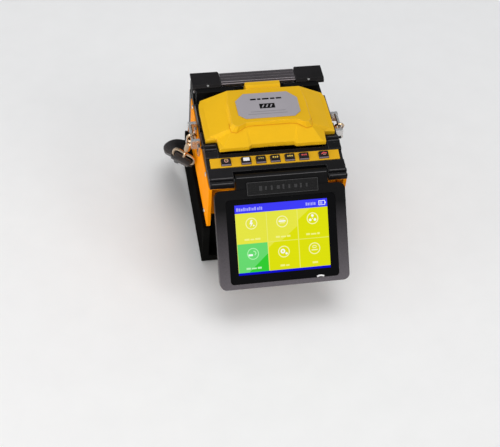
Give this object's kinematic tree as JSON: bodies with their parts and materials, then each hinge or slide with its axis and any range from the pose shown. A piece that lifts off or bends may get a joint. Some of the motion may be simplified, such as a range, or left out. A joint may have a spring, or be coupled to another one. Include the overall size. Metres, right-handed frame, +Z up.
{
  "type": "fiber fusion splicer",
  "caption": "Bench-top optical fibre fusion splicer with a tilting colour screen, hinged wind cover, tube heater, push keys, slide-out battery and a neck strap on snap hooks",
  "frame": {"origin": "centre of the flat underside pad, on the resting plane", "axes": "X to the right, Y to the rear, Z up; the screen faces -Y and up"},
  "size_m": [0.141, 0.2166, 0.1152],
  "materials": {
    "yellow_shell": "satin moulded, orange-yellow",
    "yellow_cover": "satin moulded, bright yellow",
    "black_plastic": "satin black",
    "dark_grey_plastic": "satin dark grey",
    "rubber": "soft matt black",
    "steel": "satin",
    "aluminium": "fine milled",
    "brassy": "pale gold plated",
    "ceramic": "matt white",
    "circuit_board": "solder mask green",
    "label_silver": "satin printed foil",
    "smoked_clear": "smoked clear",
    "black_glass": "gloss black border",
    "lit_panel": "lit picture",
    "webbing": "woven black nylon"
  },
  "bodies": {
    "body": {"base_pad": "rubber", "base_housing": "black_plastic", "rear_panel": "black_plastic", "power_inlet": "black_plastic", "top_deck": "black_plastic", "sheath_clamp_left": "black_plastic", "sheath_clamp_right": "black_plastic", "heater_housing": "black_plastic", "arc_module": "black_plastic", "microscope": "black_plastic", "left_shell": "yellow_shell", "right_shell": "yellow_shell", "front_panel": "yellow_shell", "key_strip": "yellow_cover", "main_board": "circuit_board", "key_board": "circuit_board", "chassis": "aluminium", "heater_bed": "aluminium", "vee_block_left": "ceramic", "vee_block_right": "ceramic", "electrode_frame": "ceramic", "electrode_front": "steel", "electrode_rear": "steel", "screen_pin_left": "steel", "screen_pin_right": "steel", "cover_pin": "steel", "heater_pin": "steel", "strap_bar_left": "steel", "strap_bar_right": "steel", "snap_hook_left": "brassy", "snap_hook_right": "brassy", "strap_ring_left": "brassy", "strap_ring_right": "brassy", "neck_strap": "webbing"},
    "battery": {"battery_pack": "dark_grey_plastic"},
    "latch": {"battery_latch": "rubber"},
    "cover": {"wind_cover": "yellow_cover", "cover_label": "label_silver", "fibre_presser": "steel"},
    "sheath_lid_l": {"sheath_lid_left": "aluminium"},
    "sheath_lid_r": {"sheath_lid_right": "aluminium"},
    "heater_cover": {"heater_lid": "smoked_clear"},
    "wing_l": {"heater_wing_left": "black_plastic", "wing_screw_left": "steel"},
    "wing_r": {"heater_wing_right": "black_plastic", "wing_screw_right": "steel"},
    "screen": {"screen_frame": "dark_grey_plastic", "screen_back": "black_plastic", "screen_glass": "black_glass", "lcd_module": "lit_panel", "name_plate": "dark_grey_plastic"},
    "gate_l": {"hook_gate_left": "steel"},
    "gate_r": {"hook_gate_right": "steel"},
    "key_1_body": {"key_1": "rubber"},
    "key_2_body": {"key_2": "rubber"},
    "key_3_body": {"key_3": "rubber"},
    "key_4_body": {"key_4": "rubber"},
    "key_5_body": {"key_5": "rubber"},
    "key_6_body": {"key_6": "rubber"},
    "key_7_body": {"key_7": "rubber"}
  },
  "joints": [
    {"name": "battery_slide", "type": "slide", "parent": "body", "child": "battery", "axis": [1, 0, 0], "range_m": [0, 0.088]},
    {"name": "battery_latch_slide", "type": "slide", "parent": "battery", "child": "latch", "axis": [0, -1, 0], "range_m": [0, 0.004], "stiffness_N_per_m": 300, "springref_m": -0.0005},
    {"name": "wind_cover_hinge", "type": "hinge", "parent": "body", "child": "cover", "pos_m": [0, 0.0264, 0.102], "axis": [-1, 0, 0], "range_deg": [0, 70]},
    {"name": "sheath_lid_l_hinge", "type": "hinge", "parent": "body", "child": "sheath_lid_l", "pos_m": [-0.0225, 0.0053, 0.0906], "axis": [-1, 0, 0], "range_deg": [0, 90]},
    {"name": "sheath_lid_r_hinge", "type": "hinge", "parent": "body", "child": "sheath_lid_r", "pos_m": [0.0225, 0.0053, 0.0906], "axis": [-1, 0, 0], "range_deg": [0, 90]},
    {"name": "heater_lid_hinge", "type": "hinge", "parent": "body", "child": "heater_cover", "pos_m": [0, 0.0488, 0.1002], "axis": [-1, 0, 0], "range_deg": [0, 95]},
    {"name": "heater_wing_l_hinge", "type": "hinge", "parent": "body", "child": "wing_l", "pos_m": [-0.041, 0.0488, 0.1002], "axis": [-1, 0, 0], "range_deg": [0, 95]},
    {"name": "heater_wing_r_hinge", "type": "hinge", "parent": "body", "child": "wing_r", "pos_m": [0.041, 0.0488, 0.1002], "axis": [-1, 0, 0], "range_deg": [0, 95]},
    {"name": "screen_tilt", "type": "hinge", "parent": "body", "child": "screen", "pos_m": [0, -0.055, 0.0905], "axis": [-1, 0, 0], "range_deg": [-41.6, 130]},
    {"name": "key_1_press", "type": "slide", "parent": "body", "child": "key_1_body", "axis": [0, 0.2283, -0.9736], "range_m": [0, 0.0008], "stiffness_N_per_m": 1200, "springref_m": -0.0002},
    {"name": "key_2_press", "type": "slide", "parent": "body", "child": "key_2_body", "axis": [0, 0.2283, -0.9736], "range_m": [0, 0.0008], "stiffness_N_per_m": 1200, "springref_m": -0.0002},
    {"name": "key_3_press", "type": "slide", "parent": "body", "child": "key_3_body", "axis": [0, 0.2283, -0.9736], "range_m": [0, 0.0008], "stiffness_N_per_m": 1200, "springref_m": -0.0002},
    {"name": "key_4_press", "type": "slide", "parent": "body", "child": "key_4_body", "axis": [0, 0.2283, -0.9736], "range_m": [0, 0.0008], "stiffness_N_per_m": 1200, "springref_m": -0.0002},
    {"name": "key_5_press", "type": "slide", "parent": "body", "child": "key_5_body", "axis": [0, 0.2283, -0.9736], "range_m": [0, 0.0008], "stiffness_N_per_m": 1200, "springref_m": -0.0002},
    {"name": "key_6_press", "type": "slide", "parent": "body", "child": "key_6_body", "axis": [0, 0.2283, -0.9736], "range_m": [0, 0.0008], "stiffness_N_per_m": 1200, "springref_m": -0.0002},
    {"name": "key_7_press", "type": "slide", "parent": "body", "child": "key_7_body", "axis": [0, 0.2283, -0.9736], "range_m": [0, 0.0008], "stiffness_N_per_m": 1200, "springref_m": -0.0002},
    {"name": "gate_l_hinge", "type": "hinge", "parent": "body", "child": "gate_l", "pos_m": [-0.06173, -0.00268, 0.0824], "axis": [0, 0.9613, 0.2756], "range_deg": [0, 20], "stiffness_Nm_per_rad": 0.02, "springref_deg": -5.73},
    {"name": "gate_r_hinge", "type": "hinge", "parent": "body", "child": "gate_r", "pos_m": [0.06187, -0.00147, 0.08292], "axis": [0, -0.9063, -0.4226], "range_deg": [0, 20], "stiffness_Nm_per_rad": 0.02, "springref_deg": -5.73}
  ]
}
